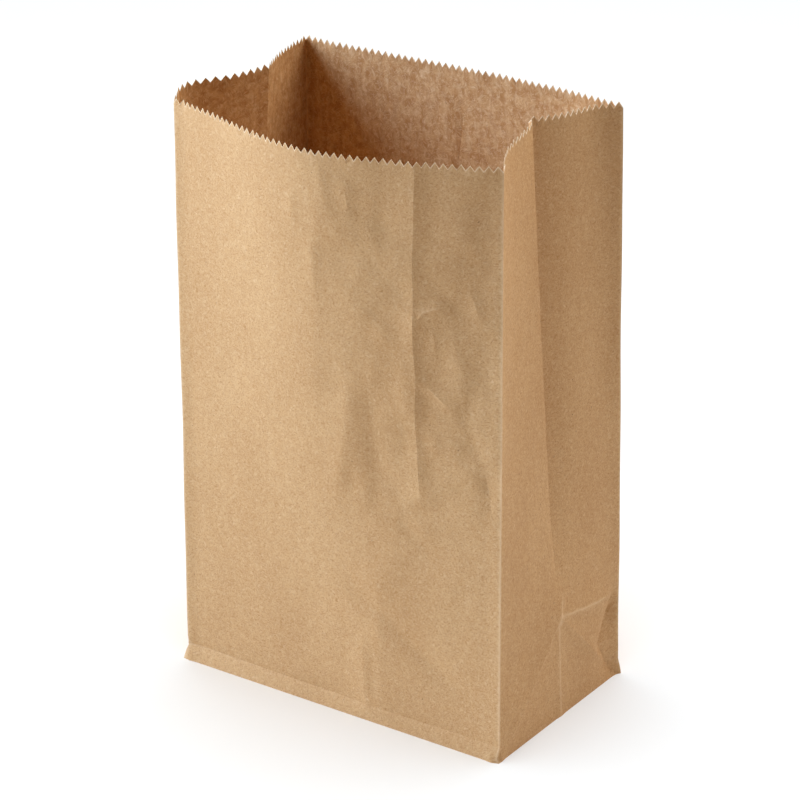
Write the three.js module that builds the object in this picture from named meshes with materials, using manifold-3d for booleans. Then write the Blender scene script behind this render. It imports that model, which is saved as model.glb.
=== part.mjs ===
// A brown paper lunch bag with a block bottom, standing open and empty.
//
// The bag is one sheet of unbleached kraft paper. It is rolled into a tube and glued down the
// back, pleated into a gusset at each side, cut to a saw-tooth edge at the mouth, and folded
// and glued flat at the bottom. So it is one solid: a wall one ply thick, two plies at the
// glued seam, with the folded plies of the bottom lying on each other.
//
// Millimetres. +X is to the right and +Y to the back, seen from the front, and +Z is up.
// The origin is the middle of the bottom, on the surface that the bag stands on.

import * as THREE from 'three';
import { mergeVertices } from 'three/addons/utils/BufferGeometryUtils.js';
import Module from 'manifold-3d';

const wasm = await Module();
wasm.setup();

// ---------------------------------------------------------------- driving dimensions

const TOOTH_PITCH = 3.175;                 // one tooth of the cut mouth, 1/8 inch
const TOOTH_HEIGHT = 2.2;
const FRONT_TEETH = 48;                    // teeth across the front, and across the back
const SIDE_TEETH = 28;                     // teeth across each gusset
const WIDTH = FRONT_TEETH * TOOTH_PITCH;   // 152.4, 6 inches
const DEPTH = SIDE_TEETH * TOOTH_PITCH;    // 88.9, 3 1/2 inches
const HEIGHT = 1.6 * WIDTH;
const PLY = 0.1;                           // thickness of the paper

const SEAM_FROM = 36;                      // teeth from the back right corner to the seam
const SEAM_TEETH = 4;                      // width of the glued seam, 12.7 mm
const FLAP_LAP = 8;                        // how far each bottom flap passes the middle
const APEX_INSET = 1.5;                    // how far the gusset's lower point is pushed in

// The open mouth isn't the same rectangle as the bottom. Each corner of the mouth lies a few
// millimetres from its place above the bottom, and each gusset folds in at its middle crease.
const MOUTH_SHIFT = {
  frontLeft: [2.3, -0.8],
  frontRight: [-4.1, 3.4],
  backRight: [-6.4, 1.6],
  backLeft: [2.1, -2.6],
};
const RIGHT_CREASE_AT_MOUTH = [50.8, 11.2];
const LEFT_CREASE_AT_MOUTH = [-66.6, 3.8];

// How far the mouth bows out of the straight line between two folds: [part of the way, mm].
const FRONT_BOW = [[0, 0], [0.14, 6.4], [0.4, 19.3], [0.55, 21.6], [0.73, 15.7], [0.95, 3.6], [1, 0]];
const BACK_BOW = [[0, 0], [0.2, 2.2], [0.55, 2.5], [0.8, 0.2], [1, 0]];
const RIGHT_FRONT_BOW = [[0, 0], [0.4, -2.6], [0.84, -0.5], [1, 0]];
const RIGHT_BACK_BOW = [[0, 0], [0.55, -2.2], [0.8, -3], [1, 0]];
const LEFT_BACK_BOW = [[0, 0], [0.4, 1.5], [1, 0]];
const LEFT_FRONT_BOW = [[0, 0], [0.4, 4.3], [0.74, 7.6], [1, 0]];
const BOW_GROWTH = 1.6;                    // power of the height with which the bow grows

// Facets: a step along the front and back, one along the gussets, and the rows of the wall.
const FRONT_STEP = 4;                      // teeth
const SIDE_STEP = 2;                       // teeth
const ROWS_BELOW_APEX = SIDE_TEETH / 2 / SIDE_STEP;
const ROWS_ABOVE_APEX = 9;

// ---------------------------------------------------------------- folds of the tube

const APEX_HEIGHT = DEPTH / 2;             // the gusset's crease ends here, over the bottom
const VALLEY_HEIGHT = HEIGHT - TOOTH_HEIGHT;
const ROUND = 2 * (FRONT_TEETH + SIDE_TEETH);

const BASE_CORNER = {
  frontLeft: [-WIDTH / 2, -DEPTH / 2],
  frontRight: [WIDTH / 2, -DEPTH / 2],
  backRight: [WIDTH / 2, DEPTH / 2],
  backLeft: [-WIDTH / 2, DEPTH / 2],
};

function between(a, b, part) {
  return [a[0] + (b[0] - a[0]) * part, a[1] + (b[1] - a[1]) * part];
}

/** A corner fold of the tube at a height: a straight line from the bottom to the mouth. */
function cornerAt(name, z) {
  const base = BASE_CORNER[name];
  const part = z / HEIGHT;
  return [base[0] + MOUTH_SHIFT[name][0] * part, base[1] + MOUTH_SHIFT[name][1] * part];
}

/** How far a panel bows at the mouth, as a smooth curve through its few points. */
function bowCurve(points) {
  const places = points.map(([place]) => place);
  const sizes = points.map(([, size]) => size);
  return new THREE.CubicInterpolant(places, sizes, 1, new Float32Array(1));
}

/** A point on the line from a to b, bowed to the outside by the given distance. */
function bowedPoint(a, b, part, distance) {
  const [x, y] = between(a, b, part);
  const length = Math.hypot(b[0] - a[0], b[1] - a[1]);
  const outX = (b[1] - a[1]) / length;
  const outY = (a[0] - b[0]) / length;
  return [x + outX * distance, y + outY * distance];
}

/** A front or back panel: flat at the bottom, bowed more and more towards the mouth. */
function flatPanel(from, to, bowPoints) {
  const bow = bowCurve(bowPoints);
  return (part, z) => {
    const distance = bow.evaluate(part)[0] * (z / HEIGHT) ** BOW_GROWTH;
    return bowedPoint(cornerAt(from, z), cornerAt(to, z), part, distance);
  };
}

/**
 * A side panel. Over the apex it is a gusset of two halves with a crease between them. Under
 * the apex two creases run down at 45 degrees to the bottom corners.
 */
function gussetPanel(from, to, side, creaseAtMouth, firstBow, secondBow) {
  const apex = [side * (WIDTH / 2 - APEX_INSET), 0];
  const halves = [bowCurve(firstBow), bowCurve(secondBow)];

  function overApex(part, z) {
    const climb = (z - APEX_HEIGHT) / (HEIGHT - APEX_HEIGHT);
    const crease = between(apex, creaseAtMouth, climb);
    const second = part > 0.5;
    const halfPart = second ? 2 * part - 1 : 2 * part;
    const distance = halves[second ? 1 : 0].evaluate(halfPart)[0] * climb ** BOW_GROWTH;
    const start = second ? crease : cornerAt(from, z);
    const end = second ? cornerAt(to, z) : crease;
    return bowedPoint(start, end, halfPart, distance);
  }

  function underApex(part, z) {
    const climb = z / APEX_HEIGHT;
    const firstCrease = between(BASE_CORNER[from], apex, climb);
    const secondCrease = between(BASE_CORNER[to], apex, climb);
    const along = part * DEPTH;
    if (along < z) return between(cornerAt(from, z), firstCrease, along / z);
    if (DEPTH - along < z) return between(cornerAt(to, z), secondCrease, (DEPTH - along) / z);
    const span = DEPTH - 2 * z;
    return between(firstCrease, secondCrease, span > 0 ? (along - z) / span : 0.5);
  }

  return (part, z) => (z > APEX_HEIGHT ? overApex(part, z) : underApex(part, z));
}

// The four panels in their order round the tube, anticlockwise seen from above.
const PANELS = [
  {
    teeth: FRONT_TEETH,
    step: FRONT_STEP,
    place: flatPanel('frontLeft', 'frontRight', FRONT_BOW),
  },
  {
    teeth: SIDE_TEETH,
    step: SIDE_STEP,
    place: gussetPanel('frontRight', 'backRight', 1, RIGHT_CREASE_AT_MOUTH,
      RIGHT_FRONT_BOW, RIGHT_BACK_BOW),
  },
  {
    teeth: FRONT_TEETH,
    step: FRONT_STEP,
    place: flatPanel('backRight', 'backLeft', BACK_BOW),
  },
  {
    teeth: SIDE_TEETH,
    step: SIDE_STEP,
    place: gussetPanel('backLeft', 'frontLeft', -1, LEFT_CREASE_AT_MOUTH,
      LEFT_BACK_BOW, LEFT_FRONT_BOW),
  },
];

/** The panel that holds a place round the tube, and how far along the panel it is, 0 to 1. */
function panelAt(u) {
  let start = 0;
  for (const panel of PANELS) {
    if (u < start + panel.teeth) return { panel, part: (u - start) / panel.teeth };
    start += panel.teeth;
  }
  return { panel: PANELS[0], part: 0 };
}

// ---------------------------------------------------------------- rings of points

/** The places round the tube, counted in teeth, where the wall has a column of facets. */
function coarseColumns() {
  const columns = [];
  let start = 0;
  for (const panel of PANELS) {
    for (let along = 0; along < panel.teeth; along += panel.step) columns.push(start + along);
    start += panel.teeth;
  }
  return columns;
}

function steps(count, first, size = 1) {
  return Array.from({ length: count }, (_, index) => first + index * size);
}

/** The unit vector to the outside of the wall, times the stretch that keeps its thickness. */
function outwardMitre(before, here, after) {
  const first = new THREE.Vector2(here[1] - before[1], before[0] - here[0]).normalize();
  const second = new THREE.Vector2(after[1] - here[1], here[0] - after[0]).normalize();
  return first.clone().add(second).divideScalar(1 + first.dot(second));
}

/**
 * The points of one level of the wall, moved out of it by the given distance. An open run,
 * such as the seam's, keeps its ends; the whole tube is a closed ring.
 */
function ringPoints(columns, z, outset) {
  const plan = (u) => {
    const { panel, part } = panelAt((u + ROUND) % ROUND);
    return panel.place(part, z);
  };
  const reach = 0.5;                       // teeth, to the neighbours that give the direction
  return columns.map((u) => {
    const here = plan(u);
    const out = outwardMitre(plan(u - reach), here, plan(u + reach));
    return [here[0] + out.x * outset, here[1] + out.y * outset, z];
  });
}

/** Points and triangles of a closed mesh while it is put together. */
class Skin {
  points = [];
  triangles = [];

  addRing(columns, z, outset) {
    const first = this.points.length;
    this.points.push(...ringPoints(columns, z, outset));
    return { columns, first };
  }

  /** A triangle, turned round when it belongs to the inside of the wall. */
  face(a, b, c, inside = false) {
    this.triangles.push(inside ? [a, c, b] : [a, b, c]);
  }

  /** Two levels joined by triangles, also where the upper one has more columns. */
  joinRings(lower, upper, closed, inside) {
    const ends = closed ? [ROUND] : [];
    const low = [...lower.columns, ...ends];
    const high = [...upper.columns, ...ends];
    const lowIndex = (i) => lower.first + (i % lower.columns.length);
    const highIndex = (i) => upper.first + (i % upper.columns.length);
    let i = 0;
    let j = 0;
    while (i < low.length - 1 || j < high.length - 1) {
      const nextLow = low[i + 1] ?? Infinity;
      const nextHigh = high[j + 1] ?? Infinity;
      const lowFirst = nextLow < nextHigh || (nextLow === nextHigh && creaseFalls(low[i]));
      if (lowFirst) {
        this.face(lowIndex(i), lowIndex(i + 1), highIndex(j), inside);
        i += 1;
      } else {
        this.face(lowIndex(i), highIndex(j + 1), highIndex(j), inside);
        j += 1;
      }
    }
  }

  /** The paper's cut edge: a strip from the outer line of points to the inner one. */
  joinEdge(outer, inner) {
    for (let i = 0; i < outer.length - 1; i += 1) {
      this.face(outer[i], outer[i + 1], inner[i + 1]);
      this.face(outer[i], inner[i + 1], inner[i]);
    }
  }

  toManifold() {
    return new wasm.Manifold(new wasm.Mesh({
      numProp: 3,
      vertProperties: new Float32Array(this.points.flat()),
      triVerts: new Uint32Array(this.triangles.flat()),
    }));
  }
}

/** Whether the facets have their diagonals falling, as the second 45 degree crease does. */
function creaseFalls(u) {
  const { panel, part } = panelAt(u);
  return panel.teeth === SIDE_TEETH && part >= 0.5;
}

// ---------------------------------------------------------------- the paper

/** Heights of the wall's rows. Under the apex they suit the 45 degree creases. */
function rowHeights(bottom) {
  const below = steps(ROWS_BELOW_APEX, 0, APEX_HEIGHT / ROWS_BELOW_APEX);
  const rise = (VALLEY_HEIGHT - APEX_HEIGHT) / ROWS_ABOVE_APEX;
  const above = steps(ROWS_ABOVE_APEX, APEX_HEIGHT, rise);
  return [...below, ...above].map((z) => Math.max(z, bottom));
}

/**
 * A stretch of the wall as a closed solid: the outer skin, the inner skin, the saw-tooth edge
 * at the mouth and the edges that close it.
 */
function wall({ firstTooth, teeth, columns, bottom, outerOutset, innerOutset }) {
  const skin = new Skin();
  const closed = teeth === ROUND;
  const valleyColumns = steps(closed ? teeth : teeth + 1, firstTooth);
  const tipColumns = steps(teeth, firstTooth + 0.5);

  const sides = [outerOutset, innerOutset].map((outset, index) => {
    const inside = index === 1;
    const rings = rowHeights(bottom).map((z) => skin.addRing(columns, z, outset));
    rings.push(skin.addRing(valleyColumns, VALLEY_HEIGHT, outset));
    rings.slice(1).forEach((ring, row) => skin.joinRings(rings[row], ring, closed, inside));

    const valleys = rings.at(-1);
    const tips = skin.addRing(tipColumns, HEIGHT, outset);
    const mouth = [];
    for (let tooth = 0; tooth < teeth; tooth += 1) {
      const here = valleys.first + tooth;
      const next = valleys.first + ((tooth + 1) % valleys.columns.length);
      skin.face(here, next, tips.first + tooth, inside);
      mouth.push(here, tips.first + tooth);
    }
    mouth.push(valleys.first + (teeth % valleys.columns.length));
    return { rings, mouth };
  });

  const [outer, inner] = sides;
  skin.joinEdge(inner.mouth.toReversed(), outer.mouth.toReversed());
  const lineOf = (ring) => steps(ring.columns.length, ring.first);
  const foot = (side) => {
    const line = lineOf(side.rings[0]);
    return closed ? [...line, line[0]] : line;
  };
  skin.joinEdge(foot(inner), foot(outer));
  if (!closed) {
    const startEdge = (side) => side.rings.map((ring) => ring.first);
    const endEdge = (side) => side.rings.map((ring) => ring.first + ring.columns.length - 1);
    skin.joinEdge(startEdge(inner).toReversed(), startEdge(outer).toReversed());
    skin.joinEdge(endEdge(inner), endEdge(outer));
  }
  return skin.toManifold();
}

/** The tube: front, gussets and back, one ply thick all round. */
function tube() {
  return wall({
    firstTooth: 0,
    teeth: ROUND,
    columns: coarseColumns(),
    bottom: 0,
    outerOutset: 0,
    innerOutset: -PLY,
  });
}

/** The glued seam: a second ply on the back, from the bottom fold to the mouth. */
function seam() {
  const firstTooth = FRONT_TEETH + SIDE_TEETH + SEAM_FROM;
  return wall({
    firstTooth,
    teeth: SEAM_TEETH,
    columns: [firstTooth, firstTooth + SEAM_TEETH],
    bottom: PLY,
    outerOutset: PLY,
    innerOutset: -PLY / 2,
  });
}

/** A flat ply of the bottom between two heights. */
function flatPly(corners, low, high) {
  const outline = new THREE.Shape(corners.map(([x, y]) => new THREE.Vector2(x, y)));
  const geometry = new THREE.ExtrudeGeometry(outline, { depth: high - low, bevelEnabled: false });
  geometry.translate(0, 0, low);
  geometry.deleteAttribute('normal');
  geometry.deleteAttribute('uv');
  const merged = mergeVertices(geometry);
  return new wasm.Manifold(new wasm.Mesh({
    numProp: 3,
    vertProperties: new Float32Array(merged.attributes.position.array),
    triVerts: new Uint32Array(merged.index.array),
  }));
}

/**
 * The folded bottom. The gusset ends lie inside, over the whole bottom. The back flap and then
 * the front flap fold over them: each is as wide as the bag at its fold, has ends cut back at
 * 45 degrees by the folded corners, and passes the middle, where the two are glued.
 */
function bottomPlies() {
  const halfWidth = WIDTH / 2 - PLY / 2;
  const halfDepth = DEPTH / 2 - PLY / 2;
  const reach = halfDepth + FLAP_LAP;
  const flap = (side) => [
    [-side * halfWidth, side * halfDepth],
    [side * halfWidth, side * halfDepth],
    [side * (halfWidth - reach), -side * FLAP_LAP],
    [-side * (halfWidth - reach), -side * FLAP_LAP],
  ];
  const whole = [
    [-halfWidth, -halfDepth],
    [halfWidth, -halfDepth],
    [halfWidth, halfDepth],
    [-halfWidth, halfDepth],
  ];
  const top = 4 * PLY;
  return [
    flatPly(whole, 2 * PLY, top),
    flatPly(flap(1).reverse(), PLY, top - PLY / 2),
    flatPly(flap(-1).reverse(), 0, top - PLY / 2),
  ];
}

// ---------------------------------------------------------------- the bag

function paperBag() {
  let paper = tube().add(seam());
  for (const ply of bottomPlies()) paper = paper.add(ply);
  const { vertProperties, triVerts } = paper.getMesh();
  const geometry = new THREE.BufferGeometry();
  geometry.setAttribute('position', new THREE.BufferAttribute(vertProperties, 3));
  geometry.setIndex(new THREE.BufferAttribute(triVerts, 1));
  geometry.computeVertexNormals();
  const kraftPaper = new THREE.MeshStandardMaterial({
    color: 0xc4a078,
    roughness: 0.85,
    metalness: 0,
  });
  const mesh = new THREE.Mesh(geometry, kraftPaper);
  mesh.name = 'paper_bag';
  return mesh;
}

const group = new THREE.Group();
group.add(paperBag());

export default group;
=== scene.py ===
"""A brown paper lunch bag, standing open on a pale floor.

The bag is one sheet of unbleached kraft paper: a glued tube with a gusset at each side, a
folded and glued block bottom and a saw-tooth cut at the mouth. Here the sheet is laid out
flat, with every fold and crease as an edge of its mesh, placed in space, wrinkled, cut to
teeth by Geometry Nodes and given its thickness.

Lengths in the code are millimetres on the flat sheet or in space, and metres in Blender.
A place on the sheet is (around, up): around is counted from the front left fold, along the
front, the right gusset, the back and the left gusset, and up from the bottom folds.
"""

import math

import bpy
import numpy as np
from bpy.props import FloatProperty, FloatVectorProperty, IntProperty, PointerProperty
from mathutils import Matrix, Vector, noise
from mathutils.geometry import delaunay_2d_cdt


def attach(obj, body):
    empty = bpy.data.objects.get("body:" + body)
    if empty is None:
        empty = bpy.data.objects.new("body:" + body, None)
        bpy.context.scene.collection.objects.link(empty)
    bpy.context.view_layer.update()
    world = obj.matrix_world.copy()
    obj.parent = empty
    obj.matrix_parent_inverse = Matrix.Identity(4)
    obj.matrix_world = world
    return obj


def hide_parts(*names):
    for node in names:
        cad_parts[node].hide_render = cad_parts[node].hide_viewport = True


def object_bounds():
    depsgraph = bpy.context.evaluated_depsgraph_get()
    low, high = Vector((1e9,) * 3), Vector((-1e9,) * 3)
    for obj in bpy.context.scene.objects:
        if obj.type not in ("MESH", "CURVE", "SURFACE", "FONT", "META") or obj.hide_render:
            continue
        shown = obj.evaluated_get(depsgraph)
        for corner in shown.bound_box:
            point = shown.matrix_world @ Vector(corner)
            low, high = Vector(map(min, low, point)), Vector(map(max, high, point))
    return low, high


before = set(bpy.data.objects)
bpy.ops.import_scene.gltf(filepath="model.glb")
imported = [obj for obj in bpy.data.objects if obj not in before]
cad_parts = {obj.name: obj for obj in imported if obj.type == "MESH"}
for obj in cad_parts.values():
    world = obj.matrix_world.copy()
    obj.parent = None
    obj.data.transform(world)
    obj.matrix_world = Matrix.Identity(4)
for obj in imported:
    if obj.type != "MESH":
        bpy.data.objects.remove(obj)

bl_info = {
    "name": "Paper Lunch Bag",
    "version": (1, 0, 0),
    "blender": (4, 5, 0),
    "location": "3D View > Sidebar > Lunch Bag",
    "description": "Builds a brown kraft paper lunch bag with a block bottom, and its stage",
    "category": "Add Mesh",
}

CAD_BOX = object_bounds()
CAD_NODE = "paper_bag"
BAG_NAME = "kraft_paper_bag"
MM = 0.001

PRESS_MARK = 84          # height of the mark that the folded-up bottom pressed into the walls
FOOT_BAND = 6.6          # height of the band that the bottom fold makes along the foot
FOOT_FLARE = (2.0, 0.9)  # how far it stands out at the front, at the left and the right corner
WEAR_AND_HIGHLIGHT_REACH = 1.3         # how far the pale wear and painted highlight of a fold reach
SHARP_ANGLE = 14         # degrees; a fold sharper than this is drawn with a hard edge
TUCK = 1.5               # depth at which the square end of a gusset's flap starts
# The crumple of handled paper: how wide its facets are, how high, and the seed of each layer.
CRUMPLE = (
    (14, 0.6, 4),
    (7, 0.3, 9),
)
# The bottom flaps in their order from below: the panel each hangs from, whether its ends are
# square, and how many plies up it lies.
FLAPS = (
    (0, False, 0),
    (2, False, 1.15),
    (1, True, 2.3),
    (3, True, 2.3),
)
# The round soft lights: azimuth and elevation in degrees, size in metres, power in watts, colour
# and what it lights. The floor has its own, so that it stays white under the brown bag.
LIGHT_DISTANCE = 1.8
LIGHT_AIM = (0, 0, 0.12)
LIGHTS = {
    "key": (-65, 31, 1.6, 74, (0.68, 0.82, 1), BAG_NAME),
    "side light": (128, 38, 1.6, 11, (1, 0.9, 0.82), BAG_NAME),
    "back light": (-168, 50, 1.6, 38, (1, 0.88, 0.68), BAG_NAME),
    "floor light": (0, 88, 3.6, 92, (0.88, 0.95, 1), "floor"),
}
WORLD_COLOUR = (1, 0.6, 0.3, 1)
WORLD_STRENGTH = 0.11


# ------------------------------------------------------------------ small helpers

def linear(hex_colour):
    """An sRGB hex colour, such as "c8a27a", as linear red, green and blue."""
    parts = [int(hex_colour[i:i + 2], 16) / 255 for i in (0, 2, 4)]
    return tuple(p / 12.92 if p <= 0.04045 else ((p + 0.055) / 1.055) ** 2.4 for p in parts)


def add_node(tree, kind, settings=None, inputs=None, **links):
    """Adds a node. settings are its properties, inputs its socket values by name or number,
    and links are output sockets for the inputs of that name, with _ for a space."""
    node = tree.nodes.new(kind)
    for name, value in (settings or {}).items():
        setattr(node, name, value)
    for name, value in (inputs or {}).items():
        node.inputs[name].default_value = value
    for name, socket in links.items():
        key = int(name[1:]) if name[0] == "_" else name.replace("_", " ")
        tree.links.new(socket, node.inputs[key])
    return node


def smoothstep(low, high, value):
    """0 below low, 1 above high, and smooth between."""
    part = np.clip((value - low) / (high - low), 0, 1)
    return part * part * (3 - 2 * part)


def smooth_curve(points):
    """A natural cubic curve through (place, value) points, as a function of an array."""
    x, y = np.array(points, float).T
    gap = np.diff(x)
    slope = np.diff(y) / gap
    count = len(x)
    matrix = np.eye(count)
    right = np.zeros(count)
    for i in range(1, count - 1):
        matrix[i, i - 1:i + 2] = gap[i - 1], 2 * (gap[i - 1] + gap[i]), gap[i]
        right[i] = 6 * (slope[i] - slope[i - 1])
    bend = np.linalg.solve(matrix, right)

    def value(at):
        at = np.clip(at, x[0], x[-1])
        i = np.clip(np.searchsorted(x, at, "right") - 1, 0, count - 2)
        before, after = at - x[i], x[i + 1] - at
        h = gap[i]
        cubic = (bend[i] * after**3 + bend[i + 1] * before**3) / (6 * h)
        return (cubic + (y[i] / h - bend[i] * h / 6) * after
                + (y[i + 1] / h - bend[i + 1] * h / 6) * before)

    return value


def mix(a, b, part):
    """From a to b; part is a number or an array with one value for each point."""
    part = np.asarray(part, float)[..., None]
    return np.asarray(a, float) * (1 - part) + np.asarray(b, float) * part


def cloud(around, up, grain, seed):
    """Smooth noise from -1 to 1 with lumps about grain millimetres wide."""
    points = np.stack([around / grain, up / grain], -1).reshape(-1, 2)
    values = [noise.noise(Vector((x, y, 7.3 * seed))) for x, y in points]
    return np.array(values).reshape(np.shape(around))


# ------------------------------------------------------------------ sizes and finish

def frame_height():
    """The bag's height as packed, which the drawn bag keeps."""
    low, high = CAD_BOX
    return high[2] - low[2]


class BagSizes(bpy.types.PropertyGroup):
    tooth_pitch: FloatProperty(
        name="Tooth Pitch", description="Width of one tooth of the cut mouth",
        default=3.175 * MM, unit="LENGTH", precision=4)
    tooth_height: FloatProperty(
        name="Tooth Height", description="Height of the teeth of the cut mouth",
        default=2.2 * MM, unit="LENGTH", precision=4)
    front_teeth: IntProperty(
        name="Teeth Across", description="Teeth across the front, which give the width",
        default=48)
    side_teeth: IntProperty(
        name="Teeth Deep", description="Teeth across a gusset, which give the depth",
        default=28)
    height: FloatProperty(
        name="Height", description="Height of the open bag",
        default=frame_height(), unit="LENGTH")
    ply: FloatProperty(
        name="Paper Thickness",
        description="Drawn thickness of one ply, half as much again as the real one",
        default=0.15 * MM, unit="LENGTH", precision=5)
    seam_width: FloatProperty(
        name="Seam Width", description="Width of the glued overlap on the back",
        default=12.7 * MM, unit="LENGTH")
    flap_lap: FloatProperty(
        name="Flap Lap", description="How far a bottom flap passes the middle",
        default=8 * MM, unit="LENGTH")
    mesh_step: FloatProperty(
        name="Mesh Step", description="Distance between the mesh's points",
        default=2.05 * MM, unit="LENGTH", precision=4)


class KraftFinish(bpy.types.PropertyGroup):
    paper: FloatVectorProperty(
        name="Paper", description="Colour of the unbleached kraft paper",
        subtype="COLOR", size=3, default=linear("cfa676"))
    # Also mixed into the whole inside as painted shade.
    shade: FloatVectorProperty(
        name="Dark Pulp", description="Colour of the paper's darker clouds and fibres",
        subtype="COLOR", size=3, default=linear("a87542"))
    # Also used for the pale line along folds and the foot band, which is partly wear and partly painted
    # highlight.
    light: FloatVectorProperty(
        name="Light Fibre", description="Colour of pale fibres and of worn folds",
        subtype="COLOR", size=3, default=linear("e6c9a3"))
    fleck: FloatVectorProperty(
        name="Fleck", description="Colour of the bark flecks",
        subtype="COLOR", size=3, default=linear("6f4a2c"))
    # Also used for the painted highlight along the cut edges.
    cut: FloatVectorProperty(
        name="Cut Edge", description="Colour of the paper's cut edge",
        subtype="COLOR", size=3, default=linear("f0dcbc"))


class StudioSet(bpy.types.PropertyGroup):
    azimuth: FloatProperty(
        name="Camera Azimuth", description="Turn of the camera from the front to the right",
        default=math.radians(34.56), subtype="ANGLE")
    elevation: FloatProperty(
        name="Camera Elevation", description="Height of the camera as an angle",
        default=math.radians(23.7), subtype="ANGLE")
    distance: FloatProperty(
        name="Camera Distance", description="Distance from the camera to its aim",
        default=1.2648, unit="LENGTH")
    aim_height: FloatProperty(
        name="Aim Height", description="Height of the point that the camera looks at",
        default=0.1192, unit="LENGTH")
    aim_side: FloatProperty(
        name="Aim Side", description="Shift of that point to the camera's right",
        default=-0.98 * MM, unit="LENGTH")
    focal_length: FloatProperty(
        name="Focal Length", description="Lens for a sensor 36 mm wide",
        default=143.3, subtype="DISTANCE_CAMERA")
    floor: FloatVectorProperty(
        name="Floor", description="Colour of the pale floor",
        subtype="COLOR", size=3, default=linear("f4f4f4"))


# ------------------------------------------------------------------ the open tube

class Tube:
    """Where a place on the flat sheet lies on the open bag, before any wrinkle."""

    # How far each corner of the mouth lies from its place above the bottom.
    MOUTH_SHIFT = {
        "front_left": (1.7, -1.1),
        "front_right": (-4.1, 3.4),
        "back_right": (-6.4, 1.6),
        "back_left": (-4.4, 3.4),
    }
    # How far the bottom fold pulls each corner aside at the floor.
    FOOT_SHIFT = ((0.0, 0.0), (-1.3, -0.6), (0.9, 0.5), (0.0, 0.0))
    RIGHT_CREASE = (52.4, 11.2)      # the gussets' middle creases at the mouth
    LEFT_CREASE = (-70.6, 8.6)
    APEX_INSET = 1.5                 # how far a gusset's lower point is pushed in
    # Bow of the mouth between two folds: (part of the way, millimetres outwards).
    FRONT_BOW = [(0, 0), (0.14, 6.4), (0.4, 19.3), (0.55, 21.6), (0.73, 15.7), (0.95, 3.6), (1, 0)]
    BACK_BOW = [(0, 0), (0.2, 2.2), (0.55, 2.5), (0.8, 0.2), (1, 0)]
    RIGHT_BOWS = (
        [(0, 0), (0.4, -2.6), (0.84, -0.5), (1, 0)],
        [(0, 0), (0.55, -2.2), (0.8, -3), (1, 0)],
    )
    LEFT_BOWS = (
        [(0, 0), (0.4, 1.5), (1, 0)],
        [(0, 0), (0.4, 3.6), (0.76, 8.8), (0.88, 5.0), (1, 0)],
    )
    BOW_GROWTH = 1.3                 # power of the height with which the bow grows
    PLATE = ((-1, -1), (1, -1), (1, 1), (-1, 1))

    def __init__(self, sizes):
        self.width = sizes.front_teeth * sizes.tooth_pitch / MM
        self.depth = sizes.side_teeth * sizes.tooth_pitch / MM
        self.height = sizes.height / MM
        self.top = self.height - sizes.tooth_height / MM
        self.apex = self.depth / 2
        self.round = 2 * (self.width + self.depth)
        self.folds = np.array([0, self.width, self.width + self.depth,
                               2 * self.width + self.depth, self.round])
        self.names = list(self.MOUTH_SHIFT)
        self.bottom = [(x * self.width / 2, y * self.depth / 2) for x, y in self.PLATE]
        self.front_bow = smooth_curve(self.FRONT_BOW)
        self.back_bow = smooth_curve(self.BACK_BOW)
        self.right_bows = [smooth_curve(points) for points in self.RIGHT_BOWS]
        self.left_bows = [smooth_curve(points) for points in self.LEFT_BOWS]

    def corner(self, index, up):
        """A corner fold in plan, a line that leans a little and wanders as a hand fold does."""
        index %= 4
        share = np.asarray(up, float) / self.height
        shift = self.MOUTH_SHIFT[self.names[index]]
        line = np.array(self.bottom[index]) + share[..., None] * np.array(shift)
        wander = 0.12 * np.sin(up / 23.0 + 2.1 * index) + 0.08 * np.sin(up / 9.7 + index)
        free = smoothstep(0, 30, up) * smoothstep(self.height, self.height - 40, up)
        out = np.array(self.PLATE[index]) / math.sqrt(2)
        foot = np.clip(1 - up / FOOT_BAND, 0, 1)[..., None]
        return line + (wander * free)[..., None] * out + foot * np.array(self.FOOT_SHIFT[index])

    @staticmethod
    def bowed(start, end, part, distance):
        """A point on the line from start to end, moved to the line's outer side."""
        line = end - start
        length = np.linalg.norm(line, axis=-1, keepdims=True)
        outward = np.stack([line[..., 1], -line[..., 0]], -1) / length
        return start + line * part[..., None] + outward * distance[..., None]

    def flat_panel(self, index, part, up, bow):
        """The front or the back, which bows more and more towards the mouth."""
        distance = bow(part) * np.clip(up / self.height, 0, 1) ** self.BOW_GROWTH
        return self.bowed(self.corner(index, up), self.corner(index + 1, up), part, distance)

    def gusset(self, index, part, up, side, crease_at_mouth, bows):
        """A gusset, folded in along its middle crease above the apex."""
        start, end = self.corner(index, up), self.corner(index + 1, up)
        apex = np.array([side * (self.width / 2 - self.APEX_INSET), 0.0])
        climb = np.clip((up - self.apex) / (self.height - self.apex), 0, 1)
        crease = apex + (np.array(crease_at_mouth) - apex) * climb[..., None]
        grow = climb**self.BOW_GROWTH
        first = self.bowed(start, crease, 2 * part, bows[0](2 * part) * grow)
        second = self.bowed(crease, end, 2 * part - 1, bows[1](2 * part - 1) * grow)
        over = np.where((part > 0.5)[..., None], second, first)
        # Under the apex: two outer triangles and one between the 45 degree creases.
        low = np.clip(up / self.apex, 0, 1)[..., None]
        first_base, second_base = (np.array(self.bottom[(index + i) % 4]) for i in (0, 1))
        first_crease = first_base + (apex - first_base) * low
        second_crease = second_base + (apex - second_base) * low
        along = part * self.depth
        safe = np.maximum(up, 1e-6)
        near = start + (first_crease - start) * (along / safe)[..., None]
        far = end + (second_crease - end) * ((self.depth - along) / safe)[..., None]
        span = np.maximum(self.depth - 2 * up, 1e-6)
        middle = mix(first_crease, second_crease, (along - up) / span)
        under = np.where((along < up)[..., None], near,
                         np.where((self.depth - along < up)[..., None], far, middle))
        return np.where((up > self.apex)[..., None], over, under)

    def panel_of(self, around):
        """The panel, 0 to 3, that each place lies on."""
        return np.clip(np.searchsorted(self.folds, around % self.round, "right") - 1, 0, 3)

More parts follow.
